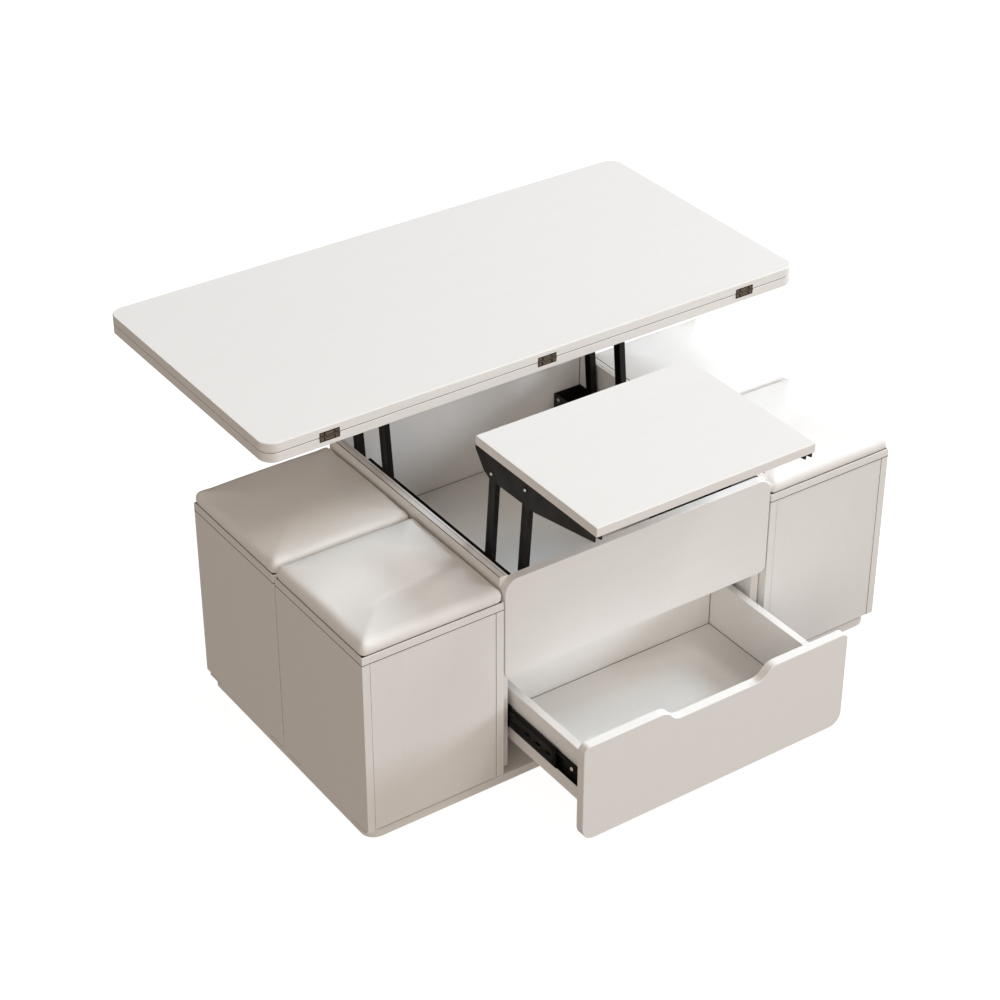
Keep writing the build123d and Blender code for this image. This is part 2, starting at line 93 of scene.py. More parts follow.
# Melamine board: particle board faced with printed white paper and pressed on a grained plate,
# so it is white and satin, with short shallow pores that run one way and hardly change its colour.
melamine = {
    "face": "#F1EFEC",
    "pore": "#E6E2DC",
    "poreLength": 55.0,
    "poreWidth": 1.6,
    "poreDepth": 0.03,
    "poreStart": 0.54,
    "poreFull": 0.68,
    "figureLength": 620.0,
    "figureWidth": 34.0,
    "figureShare": 0.16,
    "poreShare": 0.22,
    "smoothRoughness": 0.36,
    "poreRoughness": 0.52,
}


def makeMelamine(name, grainAxis):
    material, tree, shader = startMaterial(name, Specular_IOR_Level=0.5)
    place = addNode(tree, "ShaderNodeTexCoord")
    scales = []
    for length, width in ((melamine["poreLength"], melamine["poreWidth"]),
                          (melamine["figureLength"], melamine["figureWidth"])):
        scale = [1 / (width * mm)] * 3
        scale["xyz".index(grainAxis)] = 1 / (length * mm)
        scales.append(scale)
    poreSpace = addNode(tree, "ShaderNodeMapping", {"Scale": scales[0]},
                        {"Vector": place.outputs["Object"]})
    figureSpace = addNode(tree, "ShaderNodeMapping", {"Scale": scales[1]},
                          {"Vector": place.outputs["Object"]})
    pores = addNode(tree, "ShaderNodeTexNoise", {"Scale": 1.0, "Detail": 2.0, "Roughness": 0.55},
                    {"Vector": poreSpace.outputs["Vector"]})
    poreCut = addNode(tree, "ShaderNodeMapRange",
                      {"From Min": melamine["poreStart"], "From Max": melamine["poreFull"]},
                      {"Value": pores.outputs["Fac"]})
    figure = addNode(tree, "ShaderNodeTexNoise", {"Scale": 1.0, "Detail": 3.0, "Distortion": 0.6},
                     {"Vector": figureSpace.outputs["Vector"]})
    poreTint = addNode(tree, "ShaderNodeMath", {1: melamine["poreShare"]}, {0: poreCut.outputs["Result"]},
                       operation="MULTIPLY")
    tint = addNode(tree, "ShaderNodeMath", {1: melamine["figureShare"]},
                   {0: figure.outputs["Fac"], 2: poreTint.outputs["Value"]}, operation="MULTIPLY_ADD")
    colour = addNode(tree, "ShaderNodeMix",
                     {"A": linearColour(melamine["face"]), "B": linearColour(melamine["pore"])},
                     {"Factor": tint.outputs["Value"]}, data_type="RGBA")
    roughness = addNode(tree, "ShaderNodeMapRange", {"To Min": melamine["smoothRoughness"],
                                                     "To Max": melamine["poreRoughness"]},
                        {"Value": poreCut.outputs["Result"]})
    bump = addNode(tree, "ShaderNodeBump", {"Strength": 0.5, "Distance": melamine["poreDepth"] * mm},
                   {"Height": poreCut.outputs["Result"]}, invert=True)
    tree.links.new(colour.outputs["Result"], shader.inputs["Base Color"])
    tree.links.new(roughness.outputs["Result"], shader.inputs["Roughness"])
    tree.links.new(bump.outputs["Normal"], shader.inputs["Normal"])
    return material


# Artificial leather: polyurethane skin rolled on cloth, embossed with a fine pebble grain,
# so it is milky white with a soft broad shine that breaks up in the grain.
leather = {
    "skin": "#F6F4F1",
    "valley": "#EFECE7",
    "pebble": 1.5,
    "pebbleDepth": 0.05,
    "pebbleStart": 0.1,
    "pebbleFull": 0.75,
    "softness": 26.0,
    "softDepth": 0.5,
    "roughness": 0.6,
    "valleyRoughness": 0.7,
}


def makeLeather(name):
    material, tree, shader = startMaterial(name, Specular_IOR_Level=0.18, Sheen_Weight=0.05,
                                           Sheen_Roughness=0.5)
    place = addNode(tree, "ShaderNodeTexCoord")
    pebbles = addNode(tree, "ShaderNodeTexVoronoi", {"Scale": 1 / (leather["pebble"] * mm)},
                      {"Vector": place.outputs["Object"]}, feature="SMOOTH_F1")
    swells = addNode(tree, "ShaderNodeTexNoise", {"Scale": 1 / (leather["softness"] * mm), "Detail": 2.0},
                     {"Vector": place.outputs["Object"]})
    grain = addNode(tree, "ShaderNodeMapRange",
                    {"From Min": leather["pebbleStart"], "From Max": leather["pebbleFull"]},
                    {"Value": pebbles.outputs["Distance"]})
    colour = addNode(tree, "ShaderNodeMix",
                     {"A": linearColour(leather["skin"]), "B": linearColour(leather["valley"])},
                     {"Factor": grain.outputs["Result"]}, data_type="RGBA")
    roughness = addNode(tree, "ShaderNodeMapRange", {"To Min": leather["roughness"],
                                                     "To Max": leather["valleyRoughness"]},
                        {"Value": grain.outputs["Result"]})
    softBump = addNode(tree, "ShaderNodeBump", {"Strength": 0.5, "Distance": leather["softDepth"] * mm},
                       {"Height": swells.outputs["Fac"]})
    bump = addNode(tree, "ShaderNodeBump", {"Strength": 0.4, "Distance": leather["pebbleDepth"] * mm},
                   {"Height": grain.outputs["Result"], "Normal": softBump.outputs["Normal"]}, invert=True)
    tree.links.new(colour.outputs["Result"], shader.inputs["Base Color"])
    tree.links.new(roughness.outputs["Result"], shader.inputs["Roughness"])
    tree.links.new(bump.outputs["Normal"], shader.inputs["Normal"])
    return material


# Painted and plated metals and moulded plastics share one recipe: a colour that drifts a little,
# and a fine surface relief of its own size.
def makeFine(name, light, dark, driftSize, reliefSize, reliefDepth, lowRoughness, highRoughness, **sockets):
    material, tree, shader = startMaterial(name, **sockets)
    place = addNode(tree, "ShaderNodeTexCoord")
    drift = addNode(tree, "ShaderNodeTexNoise", {"Scale": 1 / (driftSize * mm), "Detail": 4.0},
                    {"Vector": place.outputs["Object"]})
    relief = addNode(tree, "ShaderNodeTexNoise", {"Scale": 1 / (reliefSize * mm), "Detail": 2.0},
                     {"Vector": place.outputs["Object"]})
    colour = addNode(tree, "ShaderNodeMix", {"A": linearColour(light), "B": linearColour(dark)},
                     {"Factor": drift.outputs["Fac"]}, data_type="RGBA")
    roughness = addNode(tree, "ShaderNodeMapRange", {"From Min": 0.3, "From Max": 0.7,
                                                     "To Min": lowRoughness, "To Max": highRoughness},
                        {"Value": drift.outputs["Fac"]})
    bump = addNode(tree, "ShaderNodeBump", {"Strength": 0.5, "Distance": reliefDepth * mm},
                   {"Height": relief.outputs["Fac"]})
    tree.links.new(colour.outputs["Result"], shader.inputs["Base Color"])
    tree.links.new(roughness.outputs["Result"], shader.inputs["Roughness"])
    tree.links.new(bump.outputs["Normal"], shader.inputs["Normal"])
    return material


boardAcross = makeMelamine("melamine_board_grain_across", "x")
boardUpright = makeMelamine("melamine_board_grain_upright", "z")
boardDeep = makeMelamine("melamine_board_grain_deep", "y")
coverLeather = makeLeather("white_pu_leather")
# Powder-coated steel: sprayed dry and baked, so it is a soft black with a faint orange peel.
powderCoat = makeFine("powder_coated_steel", "#1A1715", "#120F0E", 40.0, 1.2, 0.03, 0.4, 0.54,
                      Specular_IOR_Level=0.25)
# Slide steel: rolled sheet dipped in black electrocoat, thinner and smoother than powder, and deep black.
slideCoat = makeFine("black_electrocoat", "#100F0E", "#0A0909", 30.0, 0.9, 0.01, 0.38, 0.5,
                     Specular_IOR_Level=0.15)
# Zinc-plated steel: bright bluish white, slightly cloudy where the bath dried.
zincSteel = makeFine("zinc_plated_steel", "#D6D4CF", "#B4B1AB", 6.0, 0.8, 0.01, 0.22, 0.38, Metallic=1.0)
# The same plating, polished where a pin end is pressed and on the slide screws, and drawn near white and
# half metal: a painted highlight that stands in for their glint.
glintZinc = makeFine("zinc_painted_glint", "#FFFFFF", "#F0EFEC", 6.0, 0.8, 0.005, 0.16, 0.28, Metallic=0.45)
# Bronze-plated zinc: die cast, plated and tumbled, so it is brown with a dull shine.
bronzeZinc = makeFine("bronze_plated_zinc", "#8F816F", "#6C5F51", 9.0, 0.9, 0.02, 0.45, 0.6, Metallic=0.6)
# The same plating painted darker on the hinge's rolled knuckles: painted shade that keeps their round tops
# from catching more light than the fields.
shadedBronze = makeFine("bronze_painted_shade", "#5A5046", "#433A32", 6.0, 0.9, 0.02, 0.5, 0.65,
                      Metallic=0.5)
# The same plating drawn nearly black and matt, in the hinges' grooves and round their outline.
darkBronze = makeFine("bronze_dark_grooves_and_outline", "#1E1814", "#15110E", 9.0, 0.9, 0.02, 0.6, 0.7, Metallic=0.3)
# Moulded polypropylene: white like the boards, with a fine sparked surface.
glidePlastic = makeFine("moulded_polypropylene", "#E9E5DF", "#DDD8D0", 30.0, 0.7, 0.03, 0.5, 0.62)
# Particle board at a cut edge: pressed chips of mixed browns, rough and without shine, used only for thin
# strips in the gaps between parts, where it also stands in for the gap's shade as painted shade.
rawEdgeGapShade = makeFine("raw_board_painted_gap_shade", "#5E4E40", "#3A3028", 3.0, 0.9, 0.08, 0.8, 0.95,
                    Specular_IOR_Level=0.2)
print("materials made")


# Which finish each carried-over node gets
def finishOf(name):
    if name.endswith("_glides") or name == "cabinet_spacers":
        return glidePlastic
    if name.startswith("leaf_hinge"):
        return bronzeZinc
    if name.endswith("_pins"):
        return zincSteel
    if name.startswith("slide_"):
        return slideCoat
    if any(part in name for part in ("_arm_", "bracket", "housing")):
        return powderCoat
    if name.endswith("_top_board") or name in (
            "main_upper_leaf", "main_lower_leaf", "base_slab", "upper_front_panel", "drawer_front",
            "drawer_back", "drawer_bottom", "interior_floor"):
        return boardAcross
    if name in ("side_panel_left", "side_panel_right", "drawer_side_left", "drawer_side_right"):
        return boardDeep
    return boardUpright


for name, node in nodes.items():
    for slot in node.material_slots:
        slot.material = finishOf(name)
    if not node.material_slots:
        node.data.materials.append(finishOf(name))
print("nodes finished")


# Camera at the photographed angle
camera = {
    "lens": 87.72,
    "sensor": 36.0,
    "reach": 200.0,
    "yaw": 34.56,
    "pitch": 33.0,
    "place": (-2298.6, -3178.3, 2904.8),
}
cameraData = bpy.data.cameras.new("camera")
cameraData.lens = camera["lens"]
cameraData.sensor_width = camera["sensor"]
cameraData.clip_end = camera["reach"]
cameraObject = bpy.data.objects.new("camera", cameraData)
scene.collection.objects.link(cameraObject)
yaw, pitch = math.radians(camera["yaw"]), math.radians(camera["pitch"])
ahead = Vector((math.sin(yaw) * math.cos(pitch), math.cos(yaw) * math.cos(pitch), -math.sin(pitch)))
cameraObject.location = Vector(camera["place"]) * mm
cameraObject.rotation_mode = "QUATERNION"
cameraObject.rotation_quaternion = ahead.to_track_quat("-Z", "Y")
scene.camera = cameraObject
scene.view_settings.view_transform = "Standard"

# Studio: a pale floor, three cool windows and a neutral one on the right, a soft fill from the left front,
# a small front window and a warm room
studio = {
    "roomColour": "#FFEAD8",
    "roomStrength": 0.235,
    "floor": "#8A8987",
    "floorGlow": 0.93,
    "floorSize": 120.0,
}
windows = {
    "rear_key_window": {"side": -12.0, "rise": 26.0, "distance": 18.0, "width": 5.0, "height": 4.0,
                        "power": 1970.0, "colour": "#F4F8FF"},
    "high_key_window": {"side": 4.0, "rise": 38.0, "distance": 18.0, "width": 5.0, "height": 4.0,
                        "power": 1680.0, "colour": "#E2F3FF"},
    "low_key_window": {"side": 36.0, "rise": 14.0, "distance": 18.0, "width": 5.0, "height": 4.0,
                       "power": 1020.0, "colour": "#E3F0FF"},
    "roof_window": {"side": 36.0, "rise": 52.0, "distance": 18.0, "width": 5.0, "height": 4.0,
                    "power": 575.0, "colour": "#FBFAF5"},
    "fill_window": {"side": 140.0, "rise": 18.0, "distance": 18.0, "width": 12.6, "height": 10.2,
                    "power": 790.0, "colour": "#FFFBF5"},
    "front_window": {"side": 85.0, "rise": 25.0, "distance": 6.0, "width": 4.0, "height": 3.0,
                     "power": 76.0, "colour": "#FFF5EE"},
}


# A window stands at an angle from +X towards the front, and shines on the middle of the table
def addWindow(name, values):
    light = bpy.data.lights.new(name, "AREA")
    light.shape = "RECTANGLE"
    light.size = values["width"]
    light.size_y = values["height"]
    light.energy = values["power"]
    light.color = linearColour(values["colour"])[:3]
    holder = bpy.data.objects.new(name, light)
    scene.collection.objects.link(holder)
    side, rise = math.radians(values["side"]), math.radians(values["rise"])
    outward = Vector((math.cos(rise) * math.cos(side), -math.cos(rise) * math.sin(side), math.sin(rise)))
    holder.location = (cadBox[0] + cadBox[1]) / 2 + outward * values["distance"]
    holder.rotation_mode = "QUATERNION"
    holder.rotation_quaternion = (-outward).to_track_quat("-Z", "Y")
    holder.visible_camera = False


for windowName, values in windows.items():
    addWindow(windowName, values)
room = bpy.data.worlds.new("room")
room.use_nodes = True
room.node_tree.nodes["Background"].inputs["Color"].default_value = linearColour(studio["roomColour"])
room.node_tree.nodes["Background"].inputs["Strength"].default_value = studio["roomStrength"]
scene.world = room

floorBm = bmesh.new()
bmesh.ops.create_grid(floorBm, x_segments=1, y_segments=1, size=studio["floorSize"] / 2)
floorMesh = bpy.data.meshes.new("floor")
floorBm.to_mesh(floorMesh)
floorBm.free()
floor = bpy.data.objects.new("floor", floorMesh)
scene.collection.objects.link(floor)
# Matt paper roll, lit from below, so that it stays pale and its shadows stay faint
floorPaint = startMaterial("floor_paper", Base_Color=linearColour(studio["floor"]), Roughness=0.9,
                           Specular_IOR_Level=0.0, Emission_Color=(1, 1, 1, 1),
                           Emission_Strength=studio["floorGlow"])[0]
floorMesh.materials.append(floorPaint)
# It throws no light back on the sides of the table
floor.visible_diffuse = False
floor.visible_glossy = False
print("camera and studio placed")


# Turns a finished bmesh into a piece at the origin that rides on a body
def finishPiece(bm, name, materials, body, replaced=(), smoothAngle=35.0):
    mesh = bpy.data.meshes.new(name)
    bm.to_mesh(mesh)
    bm.free()
    for material in materials:
        mesh.materials.append(material)
    for polygon in mesh.polygons:
        polygon.use_smooth = True
    mesh.set_sharp_from_angle(angle=math.radians(smoothAngle))
    piece = bpy.data.objects.new(name, mesh)
    scene.collection.objects.link(piece)
    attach(piece, body)
    if replaced:
        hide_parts(*replaced)
    return piece


# Puts a copy of a small bmesh into a larger one, turned so that its Z axis points along a direction
def addCopy(target, source, place, direction=(0, 0, 1)):
    mesh = bpy.data.meshes.new("copy")
    source.to_mesh(mesh)
    turn = Vector((0, 0, 1)).rotation_difference(Vector(direction))
    mesh.transform(Matrix.Translation(place) @ turn.to_matrix().to_4x4())
    target.from_mesh(mesh)
    bpy.data.meshes.remove(mesh)


def addStrip(bm, low, high):
    made = bmesh.ops.create_cube(bm, size=1.0)["verts"]
    bmesh.ops.scale(bm, vec=Vector(high) - Vector(low), verts=made)
    bmesh.ops.translate(bm, vec=(Vector(high) + Vector(low)) / 2, verts=made)


# Seat cushions: foam under artificial leather, stapled down under the edge of the stool's top board.
# One is swollen with cloth, and the four get its shape, each turned its own way and with its own dents.
cushion = {
    "sideRoom": -1.2,
    "topRoom": 8.0,
    "planRadius": 9.0,
    "edgeRadius": 15.0,
    "voxel": 5.0,
    "pressure": 4.0,
    "frames": 20,
    "sideCap": 0.5,
    "topCap": 7.5,
    "settleRounds": 7,
    "heldHeight": 4.0,
    "undulation": 0.5,
    "undulationSize": 90.0,
    "undulationShift": 7.3,
    "fill": 0.85,
}
# Dents run between two places in mm from the cushion's middle: depth, sharp side and soft side
cushionDents = {
    "stool_front_left": [((118, -36), (-52, -64), 1.1, 9.0, 30.0), ((-30, 60), (40, 92), 0.5, 22.0, 30.0)],
    "stool_front_right": [((-60, -40), (70, 20), 0.7, 20.0, 30.0)],
    "stool_rear_left": [((112, 20), (86, -60), 1.2, 18.0, 30.0), ((-96, 70), (-20, 96), 0.6, 18.0, 26.0)],
    "stool_rear_right": [((-70, 50), (40, 80), 0.7, 20.0, 30.0)],
}
cushionTurns = {
    "stool_front_left": 0,
    "stool_front_right": 90,
    "stool_rear_left": 180,
    "stool_rear_right": 270,
}


def evaluatedMesh(piece, name):
    made = bpy.data.meshes.new_from_object(piece.evaluated_get(bpy.context.evaluated_depsgraph_get()))
    made.name = name
    return made


def replaceMesh(piece, modifierType, **settings):
    modifier = piece.modifiers.new(modifierType.lower(), modifierType)
    for name, value in settings.items():
        setattr(modifier, name, value)
    made = evaluatedMesh(piece, piece.name)
    piece.modifiers.clear()
    piece.data = made


# The unswollen block stands on z = 0 about the origin
def cushionBlock(size):
    bm = bmesh.new()
    bmesh.ops.create_cube(bm, size=1.0)
    bmesh.ops.scale(bm, vec=size, verts=bm.verts)
    bmesh.ops.translate(bm, vec=(0, 0, size.z / 2), verts=bm.verts)
    corners = [edge for edge in bm.edges if abs(edge.verts[0].co.z - edge.verts[1].co.z) > size.z / 2]
    bmesh.ops.bevel(bm, geom=corners, offset=cushion["planRadius"] * mm, offset_type="OFFSET", segments=5,
                    profile=0.5, affect="EDGES", material=-1)
    rim = [edge for edge in bm.edges if all(vert.co.z > size.z / 2 for vert in edge.verts)]
    rim = [edge for edge in rim if abs(edge.verts[0].co.z - edge.verts[1].co.z) < size.z / 10]
    bmesh.ops.bevel(bm, geom=rim, offset=cushion["edgeRadius"] * mm, offset_type="OFFSET", segments=6,
                    profile=0.5, affect="EDGES", material=-1)
    mesh = bpy.data.meshes.new("cushion_block")
    bm.to_mesh(mesh)
    bm.free()
    block = bpy.data.objects.new("cushion_block", mesh)
    scene.collection.objects.link(block)
    return block


def swell(block):
    before = [vert.co.copy() for vert in block.data.vertices]
    held = block.vertex_groups.new(name="held")
    heldHeight = cushion["heldHeight"] * mm
    held.add([vert.index for vert in block.data.vertices if vert.co.z < heldHeight], 1.0, "REPLACE")
    cloth = block.modifiers.new("cloth", "CLOTH")
    cloth.settings.use_pressure = True
    cloth.settings.uniform_pressure_force = cushion["pressure"]
    cloth.settings.vertex_group_mass = "held"
    cloth.settings.effector_weights.gravity = 0.0
    cloth.point_cache.frame_start = 1
    cloth.point_cache.frame_end = cushion["frames"]
    for step in range(1, cushion["frames"] + 1):
        scene.frame_set(step)
    swollen = evaluatedMesh(block, block.name)
    block.modifiers.clear()
    # The swelling is scaled down to its caps, so its shape stays
    for axis, cap in enumerate((cushion["sideCap"], cushion["sideCap"], cushion["topCap"])):
        moves = [vert.co[axis] - start[axis] for vert, start in zip(swollen.vertices, before)]
        share = min(1.0, cap * mm / max(abs(move) for move in moves))
        for vert, start, move in zip(swollen.vertices, before, moves):
            vert.co[axis] = start[axis] + share * move
    block.data = swollen
    scene.frame_set(1)


# How deep a dent is at a place: steep on one side of its line, soft on the other, and fading past its ends
def dentDepth(place, start, end, depth, sharpSide, softSide):
    line = Vector(end) - Vector(start)
    along = (place - Vector(start)).dot(line.normalized())
    across = (place - Vector(start)).dot(Vector((-line.y, line.x)).normalized())
    past = max(-along, along - line.length, 0)
    side = sharpSide if across < 0 else softSide
    return depth * math.exp(-(across / side) ** 2 - (past / softSide) ** 2)


def makeCushions():
    low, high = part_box(stools[0] + "_cushion")
    room = Vector((cushion["sideRoom"], cushion["sideRoom"], cushion["topRoom"] / 2)) * mm
    block = cushionBlock(high - low - 2 * room)
    height = high.z - low.z
    replaceMesh(block, "REMESH", mode="VOXEL", voxel_size=cushion["voxel"] * mm)
    swell(block)
    replaceMesh(block, "SMOOTH", iterations=cushion["settleRounds"])
    replaceMesh(block, "SUBSURF", levels=1, render_levels=1)
    for order, stool in enumerate(stools):
        low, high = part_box(stool + "_cushion")
        mesh = block.data.copy()
        mesh.name = stool + "_pad"
        mesh.transform(Matrix.Rotation(math.radians(cushionTurns[stool]), 4, "Z"))
        shift = Vector((cushion["undulationShift"] * order, 0, 0))
        for vert in mesh.vertices:
            rise = max(0.0, min(1.0, vert.co.z / height))
            swing = noise.noise(vert.co / (cushion["undulationSize"] * mm) + shift)
            sink = sum(dentDepth(vert.co.xy / mm, *dent) for dent in cushionDents[stool])
            vert.co.z += rise ** 2 * (cushion["undulation"] * swing - sink) * mm
        mesh.transform(Matrix.Translation(((low.x + high.x) / 2, (low.y + high.y) / 2, low.z)))
        mesh.materials.clear()
        mesh.materials.append(coverLeather)
        for polygon in mesh.polygons:
            polygon.use_smooth = True
        pad = bpy.data.objects.new(stool + "_pad", mesh)
        scene.collection.objects.link(pad)
        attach(pad, stool)
        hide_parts(stool + "_cushion")
    bpy.data.objects.remove(block)


stools = ("stool_front_left", "stool_front_right", "stool_rear_left", "stool_rear_right")
makeCushions()
print("cushions made")

# Heads of screws and rivets, spun about Z from shares of their radius and height
screwHead = {
    "radius": 4.2,
    "height": 1.7,
    "recess": 1.0,
    "armShare": 0.56,
    "armWidthShare": 0.32,
    "steps": 24,
}
rivetCollar = {"radius": 6.0, "height": 0.8, "steps": 28}
rivetTip = {"radius": 3.1, "height": 2.8, "steps": 20}
panShares = ((1, -0.4), (1, 0.25), (0.93, 0.6), (0.8, 0.86), (0.66, 1))
collarShares = ((1, -0.4), (1, 0.5), (0.94, 0.85), (0.85, 1), (0.3, 1))
domeShares = ((1, 0), (1, 0.45), (0.94, 0.68), (0.8, 0.86), (0.58, 0.96), (0.3, 1), (0.1, 1))


def spinHead(values, shares):
    bm = bmesh.new()
    radius, height = values["radius"] * mm, values["height"] * mm
    verts = [bm.verts.new((out * radius, 0, rise * height)) for out, rise in shares]
    edges = [bm.edges.new(pair) for pair in zip(verts, verts[1:])]
    bmesh.ops.spin(bm, geom=verts + edges, cent=(0, 0, 0), axis=(0, 0, 1), dvec=(0, 0, 0),
                   angle=2 * math.pi, steps=values["steps"], use_merge=True, use_duplicate=False)
    bmesh.ops.remove_doubles(bm, verts=bm.verts, dist=1e-6)
    return bm


def crossReach(angle, reach, halfWidth):
    across, along = sorted((abs(math.cos(angle)), abs(math.sin(angle))))
    return min(reach / along, halfWidth / max(across, 1e-6))


# A pan head with a cross recess
def makeScrewHead():
    bm = spinHead(screwHead, panShares)
    radius, height = screwHead["radius"] * mm, screwHead["height"] * mm
    top = [edge for edge in bm.edges if edge.is_boundary and edge.verts[0].co.z > height / 2]
    for drop in (0.0, screwHead["recess"] * mm):
        extruded = bmesh.ops.extrude_edge_only(bm, edges=top)["geom"]
        for vert in [item for item in extruded if isinstance(item, bmesh.types.BMVert)]:
            angle = math.atan2(vert.co.y, vert.co.x)
            reach = crossReach(angle, screwHead["armShare"] * radius,
                               screwHead["armWidthShare"] * radius / 2)
            vert.co = (reach * math.cos(angle), reach * math.sin(angle), height - drop)
        top = [item for item in extruded if isinstance(item, bmesh.types.BMEdge)]
    bmesh.ops.holes_fill(bm, edges=[edge for edge in bm.edges if edge.is_boundary], sides=0)
    bmesh.ops.recalc_face_normals(bm, faces=bm.faces)
    return bm


# A pin end pressed over a dark collar
def makeRivetHead():
    bm = spinHead(rivetCollar, collarShares)
    for face in bm.faces:
        face.material_index = 1
    tip = spinHead(rivetTip, domeShares)
    addCopy(bm, tip, (0, 0, 0))
    tip.free()
    bmesh.ops.holes_fill(bm, edges=[edge for edge in bm.edges if edge.is_boundary], sides=0)
    bmesh.ops.recalc_face_normals(bm, faces=bm.faces)
    return bm


def setHeads(name, makeHead, places, materials, body):
    bm = bmesh.new()
    head = makeHead()
    for place, direction in places:
        addCopy(bm, head, place, direction)
    head.free()
    return finishPiece(bm, name, materials, body)


# Pivots of the two lifts in the photographed pose, read from the joints
pivots = {joint["name"]: Vector(joint["pos_m"]) for joint in frame["joints"] if joint["type"] == "hinge"}
topPivots = {}
for lift in ("small", "main"):
    rearPivot = pivots[lift + "_top_level"]
    topPivots[lift] = [rearPivot, rearPivot + pivots[lift + "_lift_front"] - pivots[lift + "_lift"]]
basePivots = [pivots[name] for name in ("small_lift", "small_lift_front", "main_lift", "main_lift_front")]

# Rivets hold the pins in the brackets' walls that face free space, and screws hold the brackets under
# their tops
bracketScrews = {"main": (0.12, 0.42, 0.85), "small": (0.1, 0.5, 0.86)}
bracketWall = 2.0
for lift, screwShares in bracketScrews.items():
    low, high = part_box(lift + "_top_bracket_right")
    wall, out = (high.x, 1) if lift == "small" else (low.x, -1)
    setHeads(lift + "_rivet_heads", makeRivetHead,
             [((side * wall, pivot.y, pivot.z), (side * out, 0, 0))
              for side in (-1, 1) for pivot in topPivots[lift]],
             [glintZinc, powderCoat], lift + "_top")
    setHeads(lift + "_bracket_screws", makeScrewHead,
             [((side * (low.x + high.x) / 2, high.y + share * (low.y - high.y), high.z - bracketWall * mm),
               (0, 0, -1)) for side in (-1, 1) for share in screwShares],
             [zincSteel], lift + "_top")

# Rivet heads of the base pins on the housings' inner walls, and the screws that hold the housings
housingScrews = {"rear": (269.0, 376.0), "front": (-262.0, 376.0)}
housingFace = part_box("mechanism_housing_right")[0].x
setHeads("base_rivet_heads", makeRivetHead,
         [((side * housingFace, pivot.y, pivot.z), (-side, 0, 0))
          for side in (-1, 1) for pivot in basePivots],
         [glintZinc, powderCoat], "root")
setHeads("housing_screws", makeScrewHead,
         [((side * housingFace, y * mm, z * mm), (-side, 0, 0)) for side in (-1, 1)
          for y, z in housingScrews.values()], [zincSteel], "root")

# End walls close the housings at the back
endWall = {"thickness": 2.0, "round": 0.4}
low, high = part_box("mechanism_housing_right")
thickness = endWall["thickness"] * mm
endWalls = bmesh.new()
for side in (-1, 1):
    left, right = sorted((side * (low.x + thickness), side * (high.x - thickness)))
    addStrip(endWalls, (left, high.y - thickness, low.z + thickness), (right, high.y, high.z))
bmesh.ops.bevel(endWalls, geom=endWalls.edges[:], offset=endWall["round"] * mm, offset_type="OFFSET",
                segments=2, profile=0.5, affect="EDGES", material=-1)
finishPiece(endWalls, "housing_end_walls", [powderCoat], "root")
print("screws and rivets made")

# Drawer slides: screws through the drawer's rail, and middle rails with pressed races and slots
drawerSlide = {
    "screws": (-464.0, -330.0, -215.0),
    "wall": 1.2,
    "lipReach": 8.2,
    "raceHeight": 8.0,
    "recess": 1.0,
    "shoulder": 1.6,
    "bend": 2.6,
    "softBend": 0.8,
    "slotPlaces": (-405.0, -372.0, -340.0),
    "slotLength": 13.0,
    "slotHeight": 6.0,
}
low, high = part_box("slide_drawer_members")
slideHeight = (low.z + high.z) / 2
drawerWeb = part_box("drawer_side_right")[1].x + drawerSlide["wall"] * mm
setHeads("slide_screws", makeScrewHead,
         [((side * drawerWeb, y * mm, slideHeight), (side, 0, 0))
          for side in (-1, 1) for y in drawerSlide["screws"]],
         [glintZinc], "drawer")


def cutAt(bm, axis, place):
    normal = [0, 0, 0]
    normal[axis] = 1
    middle = [0, 0, 0]
    middle[axis] = place
    bmesh.ops.bisect_plane(bm, geom=bm.verts[:] + bm.edges[:] + bm.faces[:], plane_co=middle,
                           plane_no=normal)


# The right rail as a sheet, its outer face towards the cabinet
def makeMiddleRail(low, high):
    bm = bmesh.new()
    half = (high.z - low.z) / 2
    web = high.x
    race = half - drawerSlide["raceHeight"] * mm
    field = race - drawerSlide["shoulder"] * mm
    sunk = web - drawerSlide["recess"] * mm
    lip = web - drawerSlide["lipReach"] * mm
    profile = ((lip, -half), (web, -half), (web, -race), (sunk, -field),
               (sunk, field), (web, race), (web, half), (lip, half))
    verts = [bm.verts.new((x, low.y, slideHeight + z)) for x, z in profile]
    edges = [bm.edges.new(pair) for pair in zip(verts, verts[1:])]
    grown = bmesh.ops.extrude_edge_only(bm, edges=edges)["geom"]
    bmesh.ops.translate(bm, vec=(0, high.y - low.y, 0),
                        verts=[item for item in grown if isinstance(item, bmesh.types.BMVert)])
    for nearest, furthest, offset, segments in ((half, web, drawerSlide["bend"], 5),
                                                (0, race, drawerSlide["softBend"], 2)):
        bends = [edge for edge in bm.edges if len(edge.link_faces) == 2
                 and nearest - 1e-6 < abs(edge.verts[0].co.z - slideHeight) < furthest + 1e-6]
        bmesh.ops.bevel(bm, geom=bends, offset=offset * mm, offset_type="OFFSET", segments=segments,
                        profile=0.5, affect="EDGES", material=-1)
    for place in drawerSlide["slotPlaces"]:
        for end in (-1, 1):
            cutAt(bm, 1, (place + end * drawerSlide["slotLength"] / 2) * mm)
    for end in (-1, 1):
        cutAt(bm, 2, slideHeight + end * drawerSlide["slotHeight"] / 2 * mm)
    slots = [face for face in bm.faces if abs(face.calc_center_median().z - slideHeight) < 1e-4
             and any(abs(face.calc_center_median().y / mm - place) < 1
                     for place in drawerSlide["slotPlaces"])]
    bmesh.ops.delete(bm, geom=slots, context="FACES")
    bmesh.ops.recalc_face_normals(bm, faces=bm.faces)
    if sum(face.normal.x for face in bm.faces) < 0:
        bmesh.ops.reverse_faces(bm, faces=bm.faces)
    return bm


